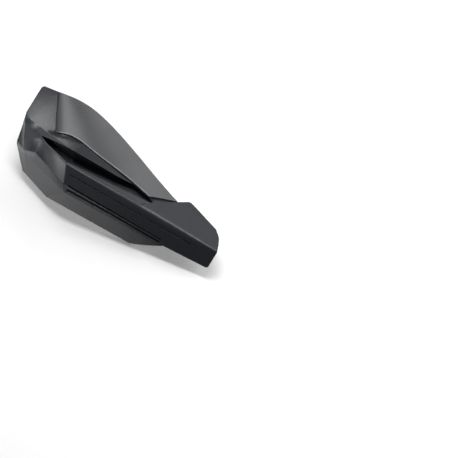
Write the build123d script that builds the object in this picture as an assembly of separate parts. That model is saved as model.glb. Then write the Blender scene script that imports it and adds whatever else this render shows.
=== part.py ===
from build123d import *
import os

os.makedirs("parts", exist_ok=True)

# Driving dimensions, in millimetres.
# Working frame: origin at the knuckle where the spine's lower edge starts,
# X along the spine to the mounting end, -Y out of the front face, Z up.

# walls of the two mouldings
WALL = 3.0
PANEL = 2.6

# cutters: reach past what they trim, size where they only have to be larger than the
# part, and how far pieces that fuse run into each other
SPARE = 8.0
ROUGH = 200.0
LAP = 1.0

# spine: a straight box whose front face leans back
SPINE_LEAN = 8.4
SPINE_RISE = 20.0
SPINE_RUN = 122.0
# rounding of its upper front edge: radius at each distance along it
EDGE_ROUND = [(-9.0, 1.6), (50.0, 4.6), (105.0, 6.4), (150.0, 4.4), (186.0, 1.4)]

# grooves moulded into the front of the spine
FACE_GROOVE_X = (2.0, 150.0)
FACE_GROOVE_UP = 12.2
FACE_GROOVE_W = 1.1
FACE_GROOVE_D = 0.7
FOOT_GROOVE_X = (5.0, 119.0)
FOOT_GROOVE_W = 1.6
FOOT_GROOVE_D = 1.5
# the deeper one along the flap, behind a narrow lip
FLAP_LIP = 1.2
FLAP_GROOVE_W = 2.8
FLAP_GROOVE_D = 1.9
FLAP_GROOVE_X = (6.5, 118.5)

# channel above the spine: its far edge, then its undercut floor, far side first, at
# the knee, the knuckle, half way, under the lip and at its end; it closes to a point both ways
CHANNEL_BACK = [(-38.0, 34.4, 8.6), (-6.0, 23.2, 27.6), (45.0, 28.2, 20.2),
                (64.0, 31.9, 17.2), (83.0, 28.1, 17.0)]
CHANNEL_FLOOR = [[(-37.6, 41.2, -6.6), (-37.6, 30.4, -8.6)], [(-5.8, 28.0, 6.5), (-5.6, 14.0, 5.0)],
                 [(45.0, 34.0, 7.0), (45.0, 19.0, 5.6)], [(64.0, 36.0, 7.4), (64.0, 21.0, 6.4)],
                 [(83.0, 31.5, 8.6), (83.0, 22.6, 8.0)]]
CHANNEL_TIP_OUT = (-51.4, 38.6, 0.2)
CHANNEL_TIP_IN = (97.0, 22.5, 16.9)
TROUGH_TIP_OUT = (-56.6, 41.0, -3.5)
TROUGH_TIP_IN = (102.0, 22.8, 14.2)

# tail block at the mounting end: plan outline, rounded corners, leaning end face
TAIL_FLOOR = 0.0
TAIL_START = (85.5, 16.2)
TAIL_CORNER = (123.0, 46.2)
TAIL_BACK = [(128.3, 45.0), (163.3, 32.6)]
TAIL_NOSE = (171.5, 25.2)
TAIL_TIP = [(176.2, 16.0), (180.2, 6.0)]
TAIL_CORNER_R = 4.0
TAIL_NOSE_R = 12.0
# its skirt hangs lowest at the front where the flap ends, and its end corner is rounded
SKIRT_X = 119.5
SKIRT_EDGE = [(122.9, 0.0, -4.4), (175.4, 0.0, -1.4), (140.0, 44.0, 0.0)]
SKIRT_CORNER_R = 4.0
END_FACE = [(176.4, -0.2, -0.5), (179.6, 8.4, 20.2), (175.6, 17.5, 20.2)]

# lower flap: X and Z of its free edge where it leaves the straight and rises to the tail
FLAP_RISE = [(80.0, -35.6), (84.0, -34.2), (89.0, -31.6), (95.7, -27.0), (111.6, -14.5), (121.2, -6.6)]
HORN_R = 4.0

# mounting bosses under the tail, with pressed-in threaded inserts
MOUNT_X = 143.0
MOUNT_Y = 24.0
MOUNT_PITCH = 30.0
MOUNT_BOSS_R = 6.6
INSERT_R = 4.0
INSERT_LEN = 10.0
INSERT_BORE_R = 2.5
INSERT_LEAD_IN = 0.5
RELIEF_R = 2.8
RELIEF_DEPTH = 3.0

# screws that hold the deflector from behind: X and Y of each
SCREW_SPOTS = [(-24.0, 55.0), (14.0, 52.0), (49.0, 45.5), (80.0, 39.0)]
SCREW_R = 2.0
SCREW_HEAD_R = 4.6
SCREW_HEAD_H = 2.2
SCREW_CHAMFER = 1.0
SCREW_BITE = 1.0
RECESS_LEN = 4.4
RECESS_W = 0.9
RECESS_D = 1.4
PANEL_BOSS_R = 3.4
BOSS_SHORT = 0.3
BOSS_FIT = 0.2
PAD_R = 6.0
PAD_DEPTH = 4.7
HEAD_ROOM = 0.6
PANEL_CORNER_R = 3.5
PANEL_EDGE_R = 1.2

# ribs on the hidden side: where they stand, and their reach up the flap and up the spine as shares
RIB = 2.0
SPINE_RIBS = [24.0, 52.0, 80.0]
RIB_FOOT = 0.3
RIB_HEAD = 0.75

# Rails of the moulded skin, from its lower edge up, each at five stations:
# free outer edge, end strip, knee, knuckle, tail.
RAILS = [
    [(-54.4, 20.2, -44.8), (-48, 17.2, -43.7), (-38, 12.4, -41.9),
     (-15.5, 1.6, -37.9), (SPINE_RUN, 0.5, -32.5)],
    [(-72.5, 32.5, -25.4), (-58.5, 23.3, -20.4), (-44.5, 16.7, -16.6),
     (5.1, -6.5, -3.5), (SPINE_RUN, -2.0, -5.8)],
    [(-73.6, 34.5, -23.4), (-60, 25, -18.8), (-45.1, 19.7, -5.1), (0, 0, 0), (SPINE_RUN, 0, 0)],
    [(-76.2, 45.2, -17.1), (-66.9, 34.4, -14.1), (-50.4, 36, -1.3),
     (-5.5, SPINE_LEAN, SPINE_RISE), (SPINE_RUN, SPINE_LEAN, SPINE_RISE)],
    [(-78.9, 54.5, -11), (-73.5, 45.2, -5.1), (-51, 37.2, -0.6),
     (-5.8, SPINE_LEAN + 2.4, SPINE_RISE + 0.4), (96, 22, SPINE_RISE - 2.2)],
    [(-80.7, 60.7, -7), (-71, 51.9, -3.8), (-51.6, 43.1, 5.4), (-6.2, 22.4, 27), (97, 23.2, 16.4)],
    [(-81.2, 90.3, 6.4), (-60.4, 84.6, 18.6), (-37.1, 42.1, 14.6), (-5, 45, 16.2), (99.5, 26.8, 15.0)],
    [(-81.2, 90.3, 6.4), (-40, 84.5, 18.4), (-20, 63, 17.4), (0, 65, 15.9), (115.5, 39.6, 13.4)],
]

# Upper deflector: one smooth panel, lip edge first, free top edge last,
# from its rolled end beside the crease to the end that stops short of the tail.
PANEL_ROWS = [
    [(-36.8, 40.4, 14.4), (-48.8, 62.0, 17.0), (-60.2, 84.2, 19.3)],
    [(-27.4, 43.6, 17.0), (-36.0, 65.0, 19.4), (-45.0, 86.2, 20.6)],
    [(-18.0, 45.0, 17.9), (-25.0, 66.8, 19.5), (-31.0, 88.0, 19.6)],
    [(8.0, 42.0, 17.8), (5.0, 63.0, 17.4), (2.0, 84.4, 15.8)],
    [(40.0, 37.2, 18.0), (41.0, 54.0, 16.2), (42.6, 70.6, 13.8)],
    [(64.0, 32.8, 18.2), (69.0, 45.0, 16.0), (74.0, 57.4, 13.8)],
    [(85.0, 28.0, 17.8), (98.0, 35.4, 16.4), (111.2, 42.3, 14.9)],
]


def bilinear(a, b, c, d):
    """One facet of a moulded skin, flat or slightly twisted, between four corners."""
    corners = []
    for p in (a, b, c, d):
        if all((p - q).length > 1e-6 for q in corners):
            corners.append(p)
    if len(corners) == 3:
        return Face(Wire.make_polygon(corners))
    normal = (corners[1] - corners[0]).cross(corners[2] - corners[0])
    if abs(normal.normalized().dot(corners[3] - corners[0])) < 1e-6:
        return Face(Wire.make_polygon(corners))
    return Face.make_bezier_surface([[corners[0], corners[1]], [corners[3], corners[2]]])


def moulded_skin(rails, wall):
    """A thin moulding: facets between rails and stations, backed by the same facets one wall behind."""
    front = [[Vector(*p) for p in rail] for rail in rails]
    rows, cols = len(front), len(front[0])

    def corner_normals(i, j):
        found = []
        for di in (-1, 1):
            for dj in (-1, 1):
                if 0 <= i + di < rows and 0 <= j + dj < cols:
                    u = front[i + di][j] - front[i][j]
                    v = front[i][j + dj] - front[i][j]
                    if u.length < 1e-6:
                        u = front[i + di][j + dj] - front[i][j]
                    if v.length < 1e-6:
                        v = front[i + di][j + dj] - front[i][j]
                    n = v.cross(u) * (di * dj)
                    if n.length > 1e-6:
                        found.append(n.normalized())
        return found

    def behind(i, j):
        step = Vector(0, 0, 0)
        for _ in range(80):
            for n in corner_normals(i, j):
                step -= n * (0.4 * (step.dot(n) + wall))
        return front[i][j] + step

    back = []
    for i in range(rows):
        back.append([behind(i, j) for j in range(cols)])
        for j in range(cols):
            if i and (front[i][j] - front[i - 1][j]).length < 1e-6:
                back[i][j] = back[i - 1][j]
    faces = []
    for i in range(rows - 1):
        for j in range(cols - 1):
            for s in (front, back):
                faces.append(bilinear(s[i][j], s[i][j + 1], s[i + 1][j + 1], s[i + 1][j]))
    for i in range(rows - 1):
        for j in (0, cols - 1):
            if (front[i][j] - front[i + 1][j]).length > 1e-6:
                faces.append(bilinear(front[i][j], front[i + 1][j], back[i + 1][j], back[i][j]))
    for j in range(cols - 1):
        for i in (0, rows - 1):
            if (front[i][j] - front[i][j + 1]).length > 1e-6:
                faces.append(bilinear(front[i][j], front[i][j + 1], back[i][j + 1], back[i][j]))
    return Solid(Shell(faces))


def passage(start, rings, stop):
    """A flat-sided solid that runs from one point through a row of rings to another point."""
    faces = []
    for ring, point in ((rings[0], start), (rings[-1], stop)):
        for a, b in zip(ring, ring[1:] + ring[:1]):
            faces.append(Face(Wire.make_polygon([a, b, Vector(*point)])))
    for near, far in zip(rings, rings[1:]):
        sides = list(zip(near, near[1:] + near[:1], far[1:] + far[:1], far))
        for a, b, c, d in sides:
            faces.append(Face(Wire.make_polygon([a, b, c])))
            faces.append(Face(Wire.make_polygon([a, c, d])))
    return Solid(Shell(faces))


def corner_tool(tip, along_a, along_b, radius, depth):
    """A cutter that rounds the outline of a sheet at one corner."""
    a = along_a.normalized()
    b = along_b.normalized()
    middle = (a + b).normalized()
    hub = tip + middle * (radius / a.cross(middle).length)
    bite = radius * a.dot(middle) / a.cross(middle).length
    start = tip + a * bite
    stop = tip + b * bite
    path = [start, start + (start - hub) * 1.2, tip - middle * radius, stop + (stop - hub) * 1.2, stop]
    rim = [Edge.make_three_point_arc(stop, hub - middle * radius, start)]
    for p, q in zip(path, path[1:]):
        rim.append(Edge.make_line(p, q))
    return extrude(Face(Wire(rim)), amount=depth, dir=a.cross(b), both=True)


def tail_tray(inset, top, bottom):
    """The tail block's outer shape, or with an inset the space inside its walls."""
    front = [(TAIL_TIP[-1][0] + SPARE, -SPARE), (TAIL_START[0], -SPARE)]
    outline = [TAIL_START, TAIL_CORNER, *TAIL_BACK, TAIL_NOSE, *TAIL_TIP, *front]
    sheet = Plane.XY.offset(bottom) * make_face(Polyline(*outline, close=True))
    sheet = fillet(sheet.vertices().sort_by_distance((*TAIL_CORNER, bottom))[0], TAIL_CORNER_R)
    sheet = fillet(sheet.vertices().sort_by_distance((*TAIL_NOSE, bottom))[0], TAIL_NOSE_R)
    if inset:
        sheet = offset(sheet, -inset, kind=Kind.INTERSECTION)
    body = extrude(sheet, amount=top - bottom)
    slope = (SPINE_RISE ** 2 + SPINE_LEAN ** 2) ** 0.5 / SPINE_RISE
    lean = Plane(origin=(0, inset * slope, 0), x_dir=(1, 0, 0), z_dir=(0, -SPINE_RISE, SPINE_LEAN))
    body = split(body, lean, keep=Keep.BOTTOM)
    end = Plane(Face(Wire.make_polygon([Vector(*p) for p in END_FACE])))
    if end.z_dir.X < 0:
        end = -end
    return split(body, end.offset(-inset), keep=Keep.BOTTOM)


def across(a, b, x):
    """Y and Z at one X on the straight line between two points."""
    t = (x - a[0]) / (b[0] - a[0])
    return Vector(a[1] + t * (b[1] - a[1]), a[2] + t * (b[2] - a[2]))


def drilled(plane, radius, start, stop):
    """A round bar along a plane's axis between two depths."""
    return plane * Pos(0, 0, (start + stop) / 2) * Cylinder(radius, stop - start)


def standing(radius, height):
    """A round bar that stands on the working plane."""
    return Cylinder(radius, height, align=(Align.CENTER, Align.CENTER, Align.MIN))


# Moulded skin, its lower flap cut to the rising edge and its free upper corner rounded.
skin = moulded_skin(RAILS, WALL)
rise = Spline(*FLAP_RISE)
past_end = FLAP_RISE[-1][0] + 2 * SPARE
below = Polyline(FLAP_RISE[-1], (past_end, FLAP_RISE[-1][1] + 0.5 * SPARE), (past_end, -ROUGH),
                 (FLAP_RISE[0][0], -ROUGH), FLAP_RISE[0])
flap_off = extrude(Plane.XZ * make_face([*rise.edges(), *below.edges()]), amount=ROUGH, both=True)
horn = Vector(*RAILS[-1][0])
along_end = Vector(*RAILS[-3][0]) - horn
along_top = Vector(*RAILS[-2][1]) - horn
horn_off = corner_tool(horn, along_end, along_top, HORN_R, 4 * WALL)
shell = Part() + skin - flap_off - horn_off

# Tail tray, open below, with two blind mounting bosses held by crossed ribs.
skirt = Plane(Face(Wire.make_polygon([Vector(*p) for p in SKIRT_EDGE])))
if skirt.z_dir.Z < 0:
    skirt = -skirt
before_skirt = Pos(SKIRT_X - ROUGH / 2, 0, TAIL_FLOOR - ROUGH / 2) * Box(ROUGH, ROUGH, ROUGH)
block = split(tail_tray(0.0, SPINE_RISE, TAIL_FLOOR - SPARE), skirt, keep=Keep.TOP) - before_skirt
end_middle = sum((Vector(*p) for p in END_FACE), Vector(0, 0, 0)) / 3
end_face = block.faces().sort_by_distance(end_middle)[0]
block = fillet(end_face.edges().sort_by(Axis.Z)[0], SKIRT_CORNER_R)
hollow = tail_tray(WALL, SPINE_RISE - WALL, TAIL_FLOOR - 2 * SPARE) - Pos(0, 0, -LAP) * before_skirt
mount_x = [MOUNT_X - MOUNT_PITCH / 2, MOUNT_X + MOUNT_PITCH / 2]
web_h = SPINE_RISE - 2 * WALL
webs = Pos(MOUNT_X, MOUNT_Y, SPINE_RISE - web_h / 2) * Box(4 * MOUNT_PITCH, RIB, web_h)
for x in mount_x:
    webs += Pos(x, MOUNT_Y, SPINE_RISE - web_h / 2) * Box(RIB, 4 * MOUNT_Y, web_h)
    webs += Pos(x, MOUNT_Y, TAIL_FLOOR) * standing(MOUNT_BOSS_R, SPINE_RISE)
shell = shell + block - hollow + (webs & block)

# Channel: a trough fused under the skin, its space cut through the skin further on.
channel_rings = []
trough_rings = []
for far_edge, (floor_back, floor_front) in zip(CHANNEL_BACK, CHANNEL_FLOOR):
    span = RAILS[4][2:4] if far_edge[0] < RAILS[4][3][0] else RAILS[4][3:5]
    near = across(*span, far_edge[0])
    front = Vector(far_edge[0], near.X, near.Y)
    back = Vector(*far_edge)
    clear = (front + back) * 0.5 + Vector(0, -0.5 * WALL, 2 * WALL)
    floor_back = Vector(*floor_back)
    floor_front = Vector(*floor_front)
    channel_rings.append([front, clear, back, floor_back, floor_front])
    trough_rings.append([front + Vector(0, -0.4 * WALL, -0.53 * WALL),
                         back + Vector(0, 0.93 * WALL, -1.13 * WALL),
                         floor_back + Vector(0, WALL, -WALL),
                         floor_front + Vector(0, -WALL, -WALL)])
shell += passage(TROUGH_TIP_OUT, trough_rings, TROUGH_TIP_IN)

# Gussets from the flap and spine to the trough, on the hidden side.
for x in SPINE_RIBS:
    low = across(RAILS[0][3], RAILS[0][4], x)
    top = across(RAILS[1][3], RAILS[1][4], x)
    corner = across(tuple(trough_rings[1][3]), tuple(trough_rings[-1][3]), x)
    foot = low * (1 - RIB_FOOT) + top * RIB_FOOT
    head = Vector(SPINE_LEAN, SPINE_RISE) * RIB_HEAD
    gusset = Polyline(foot + Vector(0.5 * WALL, 0), top + Vector(0.6 * WALL, -0.4 * LAP),
                      (0.5 * WALL, 0.4 * LAP), head + Vector(0.45 * WALL, 0),
                      corner + Vector(0.5 * LAP, 0.5 * LAP), foot + Vector(1.33 * WALL, -LAP), close=True)
    shell += extrude(Plane.YZ.offset(x) * make_face(gusset), amount=RIB / 2, both=True)

# Upper deflector panel: a smooth sheet with thickness, its hooked lower corner and its lip rounded.
panel_face = Face.make_surface_from_array_of_points(
    [[Vector(*p) for p in row] for row in PANEL_ROWS], max_deg=3)
if panel_face.normal_at().Z < 0:
    panel_face = -panel_face
panel = Solid.thicken(panel_face, -PANEL)
hook = panel.edges().sort_by_distance(Vector(*PANEL_ROWS[0][0]) - Vector(0, 0, PANEL / 2))[0]
panel = panel.fillet(PANEL_CORNER_R, [hook])
above = Solid.thicken(panel_face, 3 * PANEL)
lip_middle = Vector(*PANEL_ROWS[len(PANEL_ROWS) // 2][0])
lip = panel.edges().sort_by_distance(lip_middle)[0]
seat_cut = panel
panel = Part() + panel.fillet(PANEL_EDGE_R, [lip])


def under_panel(x, y):
    """Plane on the deflector's hidden side below a point in plan, facing away from it."""
    point, normal = panel_face.find_intersection_points(Axis((x, y, ROUGH), (0, 0, -1)))[0]
    if normal.Z < 0:
        normal = normal * -1
    return Plane(origin=point - normal * PANEL, x_dir=(1, 0, 0), z_dir=normal * -1)


# Screw pads under the land, then the channel and the deflector's seat cut into the shell.
spots = [under_panel(x, y) for x, y in SCREW_SPOTS]
for spot in spots:
    shell += drilled(spot, PAD_R, -LAP, PAD_DEPTH)
shell -= passage(CHANNEL_TIP_OUT, channel_rings, CHANNEL_TIP_IN)
shell = shell - seat_cut - above
for spot in spots:
    shell -= drilled(spot, PANEL_BOSS_R + BOSS_FIT, -WALL, PAD_DEPTH + WALL)
    shell -= drilled(spot, SCREW_HEAD_R + HEAD_ROOM, PAD_DEPTH, PAD_DEPTH + 2 * SCREW_HEAD_H)
    panel += drilled(spot, PANEL_BOSS_R, -0.5 * SCREW_BITE, PAD_DEPTH - BOSS_SHORT)
for spot in spots:
    panel -= drilled(spot, SCREW_R, -SCREW_BITE, PAD_DEPTH)

# Screws: chamfered heads with a cross recess, bearing on the pads.
screws = []
for spot in spots:
    screw = standing(SCREW_HEAD_R, SCREW_HEAD_H)
    screw = chamfer(screw.edges().sort_by(Axis.Z)[-1], SCREW_CHAMFER)
    for turn in (0, 90):
        screw -= Pos(0, 0, SCREW_HEAD_H) * Rot(0, 0, turn) * Box(RECESS_LEN, RECESS_W, 2 * RECESS_D)
    screw += Pos(0, 0, -PAD_DEPTH - SCREW_BITE) * standing(SCREW_R, PAD_DEPTH + SCREW_BITE)
    screws.append(spot * Pos(0, 0, PAD_DEPTH) * screw)

# Threaded inserts, flush with the boss ends, each in a stepped blind hole.
inserts = []
for x in mount_x:
    seat = Pos(x, MOUNT_Y, TAIL_FLOOR)
    shell -= seat * standing(INSERT_R, INSERT_LEN)
    shell -= seat * standing(RELIEF_R, INSERT_LEN + RELIEF_DEPTH)
    insert = standing(INSERT_R, INSERT_LEN) - standing(INSERT_BORE_R, INSERT_LEN)
    rims = insert.edges().filter_by(GeomType.CIRCLE)
    insert = chamfer(rims.filter_by(lambda e: abs(e.radius - INSERT_BORE_R) < 1e-6), INSERT_LEAD_IN)
    inserts.append(seat * insert)

# Grooves along the spine: on its leaning face, in the corner at its foot and behind the flap's lip.
lean_face = Plane(origin=(0, FACE_GROOVE_UP * SPINE_LEAN / SPINE_RISE, FACE_GROOVE_UP), x_dir=(1, 0, 0),
                  z_dir=(0, -SPINE_RISE, SPINE_LEAN))
shell -= lean_face * Pos(sum(FACE_GROOVE_X) / 2, 0, 0) * Box(
    FACE_GROOVE_X[1] - FACE_GROOVE_X[0], FACE_GROOVE_W, 2 * FACE_GROOVE_D)
foot_line = Plane(origin=(0, 0, 0), x_dir=(1, 0, 0), z_dir=(0, -1, 1))
shell -= foot_line * Pos(sum(FOOT_GROOVE_X) / 2, 0, 0) * Box(
    FOOT_GROOVE_X[1] - FOOT_GROOVE_X[0], FOOT_GROOVE_W, 2 * FOOT_GROOVE_D)

flap_groove = []
for x in FLAP_GROOVE_X:
    lip_at = across(RAILS[1][3], RAILS[1][4], x)
    foot_at = across(RAILS[2][3], RAILS[2][4], x)
    inward = (foot_at - lip_at).normalized()
    outward = Vector(inward.Y * -1, inward.X)
    ring = []
    for along, out in ((0, 1), (1, 1), (1, -1), (0, -1)):
        at = lip_at + inward * (FLAP_LIP + along * FLAP_GROOVE_W) + outward * (out * FLAP_GROOVE_D)
        ring.append(Vector(x, at.X, at.Y))
    flap_groove.append(ring)
groove_ends = [(ring[0] + ring[2]) * 0.5 for ring in flap_groove]
shell -= passage(groove_ends[0], flap_groove, groove_ends[1])

# Rounded upper front edge of the spine, broad in the middle and fine at both ends.
rounds = []
up_face = Vector(0, SPINE_LEAN, SPINE_RISE).normalized()
for x, r in EDGE_ROUND:
    corner = Vector(x, SPINE_LEAN, SPINE_RISE)
    reach = r * (1 - up_face.Y) / up_face.Z
    on_face = corner - up_face * reach
    on_top = corner + Vector(0, reach, 0)
    centre = on_top - Vector(0, 0, r)
    crown = centre + (corner - centre).normalized() * r
    above_top = on_top + Vector(0, 0, SPARE)
    before_face = on_face + Vector(0, -SPARE, SPARE)
    rounds.append(Wire([Edge.make_three_point_arc(on_face, crown, on_top),
                        Edge.make_line(on_top, above_top), Edge.make_line(above_top, before_face),
                        Edge.make_line(before_face, on_face)]))
shell -= Solid.make_loft(rounds)

# Each node is moved so that the middle of the mounting face is the origin.
home = Location((-MOUNT_X, -MOUNT_Y, -TAIL_FLOOR))
nodes = {
    "guard_shell": [shell],
    "upper_deflector": [panel],
    "deflector_screws": screws,
    "mount_inserts": inserts,
}
for name, pieces in nodes.items():
    moved = [s.moved(home) for piece in pieces for s in piece.solids()]
    export_step(moved[0] if len(moved) == 1 else Compound(moved), "parts/" + name + ".step")
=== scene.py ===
# %% [markdown]
# # A motorcycle hand guard, dressed and lit
# The part arrives as a finished CAD model: a black moulded shell, a smooth deflector panel, four
# screws and two brass inserts. Their shapes are right, so this lesson gives them finishes, a floor,
# soft light and a camera. We load the model first.

import bpy
from mathutils import Matrix, Vector

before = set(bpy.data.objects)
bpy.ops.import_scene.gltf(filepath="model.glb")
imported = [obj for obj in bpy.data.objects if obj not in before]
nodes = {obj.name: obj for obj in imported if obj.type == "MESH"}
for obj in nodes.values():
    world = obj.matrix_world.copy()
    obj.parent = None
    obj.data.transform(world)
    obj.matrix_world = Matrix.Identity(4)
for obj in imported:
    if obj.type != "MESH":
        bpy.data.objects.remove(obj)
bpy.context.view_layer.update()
bpy.ops.object.select_all(action="DESELECT")

# %% [markdown]
# ## The camera
# A product photograph like this one is taken from far away with a long lens, so parallel edges stay
# parallel. A perspective camera would need its distance guessed. An orthographic one gives the same
# picture without that. Two unit vectors say how it is held: where the picture's right and its up
# point among the guard's axes. Their cross product points back at the viewer.

# %% Hold the camera
PICTURE = 458
MM_PER_PIXEL = 1.0331
MOUNT_PIXEL = (192.4, 236.6)
PICTURE_RIGHT = Vector((0.84532, 0.51324, 0.14839))
PICTURE_UP = Vector((-0.49136, 0.63780, 0.59311))
CAMERA_AWAY = 1.2

towards_viewer = PICTURE_RIGHT.cross(PICTURE_UP).normalized()
metres_per_pixel = MM_PER_PIXEL / 1000
aim = PICTURE_RIGHT * ((PICTURE / 2 - MOUNT_PIXEL[0]) * metres_per_pixel)
aim -= PICTURE_UP * ((PICTURE / 2 - MOUNT_PIXEL[1]) * metres_per_pixel)
held = Matrix((PICTURE_RIGHT, PICTURE_UP, towards_viewer)).transposed()

bpy.ops.object.camera_add(location=aim + towards_viewer * CAMERA_AWAY)
camera = bpy.context.object
camera.name = "camera"
camera.rotation_mode = "QUATERNION"
camera.rotation_quaternion = held.to_quaternion()
camera.data.type = "ORTHO"
camera.data.ortho_scale = PICTURE * metres_per_pixel
bpy.context.scene.camera = camera
print("picture height in mm:", round(1000 * camera.data.ortho_scale))

# %% [markdown]
# ## Helpers for the finishes
# Colours are written the way a paint chart gives them, as sRGB hex. Shaders want linear light, so one
# function converts them. A second one adds a shader node with its settings and its links. Nodes could
# also be made line by line, but this way each finish below reads as a short list.

# %% Colour and node helpers
def linear(hex_colour):
    """Linear RGBA of an sRGB hex colour."""
    channels = [int(hex_colour[i:i + 2], 16) / 255 for i in (1, 3, 5)]
    return [c / 12.92 if c <= 0.04045 else ((c + 0.055) / 1.055) ** 2.4 for c in channels] + [1.0]


def add(tree, kind, links=None, **settings):
    """A shader node with its settings, linked to the nodes that feed it."""
    node = tree.nodes.new(kind)
    for name, value in settings.items():
        if hasattr(node, name) and name not in node.inputs:
            setattr(node, name, value)
        else:
            node.inputs[name.replace("_", " ")].default_value = value
    for socket, source in (links or {}).items():
        tree.links.new(source, node.inputs[socket])
    return node


WHITE = linear("#ffffff")
print("middle grey in linear light:", [round(c, 3) for c in linear("#808080")])

# %% [markdown]
# A finish starts as a material with an empty node tree, and goes on a CAD node in place of the plain
# one that came with it. The mesh itself is never touched.

# %% Start a finish and put it on
def finish_named(name):
    """A new material with an empty node tree, and its tree."""
    material = bpy.data.materials.new(name)
    material.use_nodes = True
    material.node_tree.nodes.clear()
    return material, material.node_tree


def dress(node_name, material):
    """Gives a CAD node one finish in all its slots."""
    piece = nodes[node_name]
    piece.data.materials.clear()
    piece.data.materials.append(material)
    print(node_name, "wears", material.name)


# %% [markdown]
# ## Glass-filled nylon, moulded with a fine grain
# The shell is injection moulded in a spark-eroded tool, which leaves a fine, even grain. To the eye
# it is a dark charcoal with soft, broad highlights. A photographed texture would have to be laid flat
# on the part and would stretch at its facets, so we take noise that fills space. It makes a shallow
# bump and moves the roughness, and a second, slow noise tints the plastic where the melt flowed. A
# Bevel node rounds the edges for the light alone, because the mesh stays as it is.

# %% Grain of the shell
# The real grain is about 0.5 mm. That is too fine to show here, so it is drawn at 1.6 mm.
GRAIN_MM = 1.6
GRAIN_DEPTH_MM = 0.3
GRAIN_STRENGTH = 0.45
NOISE_LOW, NOISE_HIGH = 0.3, 0.7
SHELL_SMOOTHEST, SHELL_ROUGHEST = 0.30, 0.40
SHELL_ROUND_MM = 1.4

shell_finish, tree = finish_named("grained_nylon")
place = add(tree, "ShaderNodeTexCoord").outputs["Object"]
grain = add(tree, "ShaderNodeTexNoise", {"Vector": place}, Scale=1000 / GRAIN_MM, Detail=2.0,
            Roughness=0.6)
grain_rough = add(tree, "ShaderNodeMapRange", {"Value": grain.outputs["Fac"]}, From_Min=NOISE_LOW,
                  From_Max=NOISE_HIGH, To_Min=SHELL_SMOOTHEST, To_Max=SHELL_ROUGHEST)
edges = add(tree, "ShaderNodeBevel", samples=6, Radius=SHELL_ROUND_MM / 1000)
dents = add(tree, "ShaderNodeBump",
            {"Height": grain.outputs["Fac"], "Normal": edges.outputs["Normal"]},
            Strength=GRAIN_STRENGTH, Distance=GRAIN_DEPTH_MM / 1000)
print("grain of", GRAIN_MM, "mm, edges rounded by", SHELL_ROUND_MM, "mm")

# %% Colour of the shell
SHELL_COLOUR = "#202328"
FLOW_COLOUR = "#272a2f"
FLOW_MM = 45

flow = add(tree, "ShaderNodeTexNoise", {"Vector": place}, Scale=1000 / FLOW_MM, Detail=3.0)
tint = add(tree, "ShaderNodeMix", {"Factor": flow.outputs["Fac"]}, data_type="RGBA")
tint.inputs["A"].default_value = linear(SHELL_COLOUR)
tint.inputs["B"].default_value = linear(FLOW_COLOUR)
print("charcoal from", SHELL_COLOUR, "to", FLOW_COLOUR)

# %% [markdown]
# The narrow grooves along the spine can't be polished in the tool, so they come out dull. They could
# have a material of their own, but their faces would have to be picked one by one. The Ambient
# Occlusion node finds every narrow hollow by itself, and mixes the rougher finish in there. It also
# paints shade into those hollows: their colour is taken nearly to black, as if shade fell there.

# %% Grooves of the shell: a dull finish, and painted shade
GROOVE_MM = 2.0
GROOVE_SHUT, GROOVE_OPEN = 0.45, 0.85
# Nearly black: painted shade for the narrow hollows, not the plastic's own colour.
GROOVE_PAINTED_SHADE = "#08090a"
GROOVE_ROUGH = 0.9
SHELL_GLOSS = 0.4
PLASTIC_IOR = 1.5

hollow = add(tree, "ShaderNodeAmbientOcclusion", samples=8, Distance=GROOVE_MM / 1000)
in_the_open = add(tree, "ShaderNodeMapRange", {"Value": hollow.outputs["AO"]}, From_Min=GROOVE_SHUT,
                  From_Max=GROOVE_OPEN)
# Where a hollow closes, the charcoal gives way to the painted shade.
shade = add(tree, "ShaderNodeMix",
            {"Factor": in_the_open.outputs["Result"], "B": tint.outputs["Result"]}, data_type="RGBA")
shade.inputs["A"].default_value = linear(GROOVE_PAINTED_SHADE)
shell_rough = add(tree, "ShaderNodeMapRange", {"Value": in_the_open.outputs["Result"],
                  "To Max": grain_rough.outputs["Result"]}, To_Min=GROOVE_ROUGH)
skin = add(tree, "ShaderNodeBsdfPrincipled", {"Base Color": shade.outputs["Result"],
           "Roughness": shell_rough.outputs["Result"], "Normal": dents.outputs["Normal"]},
           IOR=PLASTIC_IOR, Specular_IOR_Level=SHELL_GLOSS)
add(tree, "ShaderNodeOutputMaterial", {"Surface": skin.outputs["BSDF"]})
dress("guard_shell", shell_finish)

# %% [markdown]
# ## Smooth satin polypropylene
# The deflector comes from a polished tool: no grain, only a slow unevenness in its gloss where the
# melt cooled. One number for its roughness would look painted, so a broad noise moves it a little. It
# mirrors the studio softly, and so it looks lighter than the shell although its colour is nearly the
# same.

# %% Finish of the deflector
PANEL_COLOUR = "#252629"
PANEL_CLOUD_MM = 30
PANEL_SMOOTHEST, PANEL_ROUGHEST = 0.26, 0.33
PANEL_ROUND_MM = 0.4
PANEL_GLOSS = 0.75

panel_finish, tree = finish_named("satin_polypropylene")
place = add(tree, "ShaderNodeTexCoord").outputs["Object"]
cloud = add(tree, "ShaderNodeTexNoise", {"Vector": place}, Scale=1000 / PANEL_CLOUD_MM, Detail=2.0)
panel_rough = add(tree, "ShaderNodeMapRange", {"Value": cloud.outputs["Fac"]}, From_Min=NOISE_LOW,
                  From_Max=NOISE_HIGH, To_Min=PANEL_SMOOTHEST, To_Max=PANEL_ROUGHEST)
edges = add(tree, "ShaderNodeBevel", samples=6, Radius=PANEL_ROUND_MM / 1000)
skin = add(tree, "ShaderNodeBsdfPrincipled",
           {"Roughness": panel_rough.outputs["Result"], "Normal": edges.outputs["Normal"]},
           IOR=PLASTIC_IOR, Specular_IOR_Level=PANEL_GLOSS, Base_Color=linear(PANEL_COLOUR))
add(tree, "ShaderNodeOutputMaterial", {"Surface": skin.outputs["BSDF"]})
dress("upper_deflector", panel_finish)

# %% [markdown]
# ## Zinc-plated steel
# The screws only show from behind and below. Zinc plating is a slightly cloudy grey metal. Scratches
# would be lost at this size, so clouds of a few millimetres in its roughness are enough.

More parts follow.
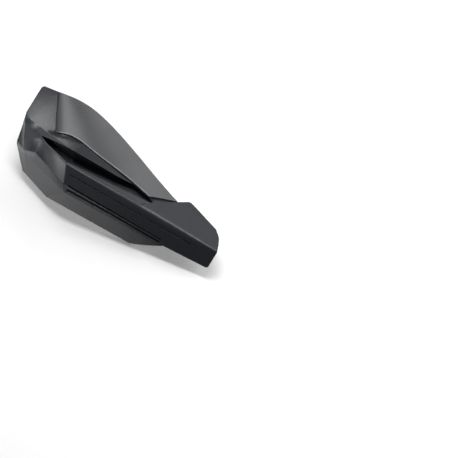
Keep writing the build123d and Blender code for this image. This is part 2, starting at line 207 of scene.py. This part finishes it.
# %% Finish of the screws
ZINC_COLOUR = "#b9bcc0"
ZINC_CLOUD_MM = 2.5
ZINC_SMOOTHEST, ZINC_ROUGHEST = 0.28, 0.5

screw_finish, tree = finish_named("zinc_plated_steel")
place = add(tree, "ShaderNodeTexCoord").outputs["Object"]
cloud = add(tree, "ShaderNodeTexNoise", {"Vector": place}, Scale=1000 / ZINC_CLOUD_MM, Detail=4.0)
zinc_rough = add(tree, "ShaderNodeMapRange", {"Value": cloud.outputs["Fac"]}, To_Min=ZINC_SMOOTHEST,
                 To_Max=ZINC_ROUGHEST)
skin = add(tree, "ShaderNodeBsdfPrincipled", {"Roughness": zinc_rough.outputs["Result"]},
           Metallic=1.0, Base_Color=linear(ZINC_COLOUR))
add(tree, "ShaderNodeOutputMaterial", {"Surface": skin.outputs["BSDF"]})
dress("deflector_screws", screw_finish)

# %% [markdown]
# ## Turned brass
# The inserts are turned from brass bar, and the tool leaves fine rings along their length. Rings cut
# into the mesh would cost more triangles than the rest of the guard, so a wave texture along the axis
# makes them as bump.

# %% Finish of the inserts
# At a scale of 1, the bands of the wave texture repeat every 0.314 units.
BANDS_APART = 0.314
TURNING_MM = 0.4
TURNING_DEPTH_MM = 0.1
TURNING_STRENGTH = 0.2
TURNING_WOBBLE = 0.4
BRASS_COLOUR = "#c9a253"
BRASS_ROUGH = 0.28

insert_finish, tree = finish_named("turned_brass")
place = add(tree, "ShaderNodeTexCoord").outputs["Object"]
rings = add(tree, "ShaderNodeTexWave", {"Vector": place}, wave_type="BANDS", bands_direction="Z",
            Scale=BANDS_APART * 1000 / TURNING_MM, Distortion=TURNING_WOBBLE)
ridges = add(tree, "ShaderNodeBump", {"Height": rings.outputs["Fac"]}, Strength=TURNING_STRENGTH,
             Distance=TURNING_DEPTH_MM / 1000)
skin = add(tree, "ShaderNodeBsdfPrincipled", {"Normal": ridges.outputs["Normal"]}, Metallic=1.0,
           Roughness=BRASS_ROUGH, Base_Color=linear(BRASS_COLOUR))
add(tree, "ShaderNodeOutputMaterial", {"Surface": skin.outputs["BSDF"]})
dress("mount_inserts", insert_finish)

# %% [markdown]
# ## Floor
# The guard lies on its rim on a white sheet, so the sheet's own upright leans about ten degrees from
# the guard's Z. It could be placed by eye. Sliding it along that upright until it meets the lowest
# corner of the model is exact, and a gap of a hair keeps the two surfaces apart.

# %% Lay the floor
FLOOR_UP = Vector((-0.173, 0.0, 0.985)).normalized()
FLOOR_SIZE = 5.0
FLOOR_GAP = 0.0003

heights = [FLOOR_UP.dot(piece.matrix_world @ v.co)
           for piece in nodes.values() for v in piece.data.vertices]
lowest = min(heights)
bpy.ops.object.select_all(action="DESELECT")
bpy.ops.mesh.primitive_plane_add(size=FLOOR_SIZE, location=FLOOR_UP * (lowest - FLOOR_GAP))
floor = bpy.context.object
floor.name = "floor"
floor.rotation_mode = "QUATERNION"
floor.rotation_quaternion = Vector((0, 0, 1)).rotation_difference(FLOOR_UP)
print("floor touches", round(1000 * lowest, 1), "mm below the mount")

# %% [markdown]
# ## White paper
# To the camera the sheet is plain white paper that takes a shadow. Stronger lamps would whiten it to
# the edge of the picture, but they would turn the guard grey as well. So the paper gets a little light
# of its own, which only the camera sees.

# %% Paper as the camera sees it
FLOOR_COLOUR = "#f2f2f2"
FLOOR_LIFT = 0.13

paper, tree = finish_named("white_paper")
rays = add(tree, "ShaderNodeLightPath")
sheet = add(tree, "ShaderNodeBsdfDiffuse", Color=linear(FLOOR_COLOUR))
lift = add(tree, "ShaderNodeMapRange", {"Value": rays.outputs["Is Camera Ray"]}, To_Max=FLOOR_LIFT)
glow = add(tree, "ShaderNodeEmission", {"Strength": lift.outputs["Result"]}, Color=WHITE)
seen = add(tree, "ShaderNodeAddShader", {0: sheet.outputs["BSDF"], 1: glow.outputs["Emission"]})
print("paper", FLOOR_COLOUR, "lifted by", FLOOR_LIFT)

# %% [markdown]
# Mirrored in satin black, a table that is white all over would make every face grey. A studio lays
# black card round the table. Here the Light Path node tells mirrored rays from the rest, and shows
# them a painted pool of light instead, a glow that no lamp gives: dark in front of the guard,
# brightest near its free end, and faded behind it. That painted reflection is why the face of the
# spine, which mirrors the floor in front, is nearly black.

# %% Painted pool of light, as the plastic mirrors the paper
# Each pair is a distance in metres along the way to the free end, and the light that is mirrored there.
POOL_LEVELS = [(0.0, 0.0), (0.05, 0.55), (0.09, 0.66), (0.17, 1.35), (0.20, 1.5), (0.25, 3.7),
               (0.40, 1.8)]
POOL_TOWARDS = Vector((-0.85, 0.53, 0.0))
POOL_FADE_START, POOL_FADE_END = -0.01, 0.02
POOL_BEHIND = 0.25

place = add(tree, "ShaderNodeTexCoord").outputs["Object"]
inwards = add(tree, "ShaderNodeVectorMath", {0: place}, operation="DOT_PRODUCT")
inwards.inputs[1].default_value = POOL_TOWARDS
pool = add(tree, "ShaderNodeFloatCurve", {"Value": inwards.outputs["Value"]})
curve = pool.mapping.curves[0]
brightest = max(light for away, light in POOL_LEVELS)
for point, (away, light) in zip(curve.points, POOL_LEVELS):
    point.location = (away, light / brightest)
for away, light in POOL_LEVELS[len(curve.points):]:
    curve.points.new(away, light / brightest)
pool.mapping.update()
print("pool of light with", len(curve.points), "levels, at most", brightest)

# %% Both in one finish
across = add(tree, "ShaderNodeSeparateXYZ", {"Vector": place})
fade = add(tree, "ShaderNodeMapRange", {"Value": across.outputs["Y"]}, From_Min=POOL_FADE_START,
           From_Max=POOL_FADE_END, To_Min=brightest, To_Max=brightest * POOL_BEHIND)
strength = add(tree, "ShaderNodeMapRange",
               {"Value": pool.outputs["Value"], "To Max": fade.outputs["Result"]})
# The glow that mirrored rays see is a painted reflection, not a lamp.
mirrored = add(tree, "ShaderNodeEmission", {"Strength": strength.outputs["Result"]}, Color=WHITE)
both = add(tree, "ShaderNodeMixShader", {0: rays.outputs["Is Glossy Ray"],
           1: seen.outputs["Shader"], 2: mirrored.outputs["Emission"]})
add(tree, "ShaderNodeOutputMaterial", {"Surface": both.outputs["Shader"]})
floor.data.materials.append(paper)
print("floor wears", paper.name)

# %% [markdown]
# ## Light
# Satin black shows its lamps rather than its colour, so each lamp is there for a face or an edge. The
# strip overhead draws the bright line along the spine's rounded edge. The softboxes on the left and
# behind give the deflector and the facets of the free end their sheen, and the large one on the right
# throws the soft shadow. None of them stands right in front, because the face of the spine is to stay
# dark. The deflector's lip does need light from the front, so its strip is linked to that piece alone,
# as black card would shade the rest in a studio.

# %% Lamps
# Name, direction from the guard, length and width in metres, watts, and the only node that it lights.
LAMPS = [
    ("high_left_softbox", (-0.40, 0.30, 0.86), 0.5, 0.5, 2.5, None),
    ("back_softbox", (-0.10, 0.80, 0.55), 0.6, 0.6, 2.4, None),
    ("low_back_softbox", (-0.66, 0.74, 0.15), 0.3, 0.3, 1.5, None),
    ("low_left_softbox", (-0.91, -0.36, 0.06), 0.5, 0.5, 1.4, None),
    ("overhead_strip", (-0.20, -0.04, 0.98), 0.8, 0.18, 8.0, None),
    ("lip_strip", (-0.20, -0.45, 0.87), 0.8, 0.3, 14.0, "upper_deflector"),
    ("right_softbox", (0.55, 0.40, 0.73), 1.1, 1.1, 7.0, None),
]
LAMP_AWAY = 1.2


def softbox(name, direction, length, width, watts, only, spot=aim, away=LAMP_AWAY):
    """An area lamp, its length along the guard, that shines at a spot from one direction."""
    back = Vector(direction).normalized()
    along = (Vector((1, 0, 0)) - back * back.x).normalized()
    bpy.ops.object.light_add(type="AREA", location=spot + back * away)
    lamp = bpy.context.object
    lamp.name = name
    lamp.data.shape = "RECTANGLE"
    lamp.data.size = length
    lamp.data.size_y = width
    lamp.data.energy = watts
    lamp.rotation_mode = "QUATERNION"
    turned = Matrix((along, back.cross(along), back)).transposed()
    lamp.rotation_quaternion = turned.to_quaternion()
    if only:
        lit = bpy.data.collections.new(name + "_lights")
        lit.objects.link(nodes[only])
        lamp.light_linking.receiver_collection = lit
    print(name, "at", [round(c, 2) for c in lamp.location])


for lamp_values in LAMPS:
    softbox(*lamp_values)

# %% [markdown]
# The large facet at the free end goes from dark at its top to light at its lower edge. A far lamp
# lights a flat face evenly, so this one stands a hand's breadth away, small and weak, and is linked to
# the shell.

# %% Near lamp at the free end
FREE_END = Vector((-0.203, 0.028, 0.004))
END_LAMP_WAY = (-0.955, 0.03, 0.30)
END_LAMP_SIZE = 0.04
END_LAMP_WATTS = 0.060
END_LAMP_AWAY = 0.13

softbox("free_end_lamp", END_LAMP_WAY, END_LAMP_SIZE, END_LAMP_SIZE, END_LAMP_WATTS, "guard_shell",
        spot=FREE_END, away=END_LAMP_AWAY)

# %% [markdown]
# ## The studio round it
# What no lamp reaches gets a little light from the walls. A dark grey world does that. Seen by the
# camera itself it is white, so that no grey shows past the edge of the floor.

# %% Dark studio
SKY = 0.16

world = bpy.data.worlds.new("dark_studio")
bpy.context.scene.world = world
world.use_nodes = True
tree = world.node_tree
tree.nodes.clear()
rays = add(tree, "ShaderNodeLightPath")
sky_level = add(tree, "ShaderNodeMapRange", {"Value": rays.outputs["Is Camera Ray"]}, To_Min=SKY,
                To_Max=1.0)
sky = add(tree, "ShaderNodeBackground", {"Strength": sky_level.outputs["Result"]}, Color=WHITE)
add(tree, "ShaderNodeOutputWorld", {"Surface": sky.outputs["Background"]})
bpy.context.scene.view_settings.view_transform = "Standard"
print("studio light", SKY)
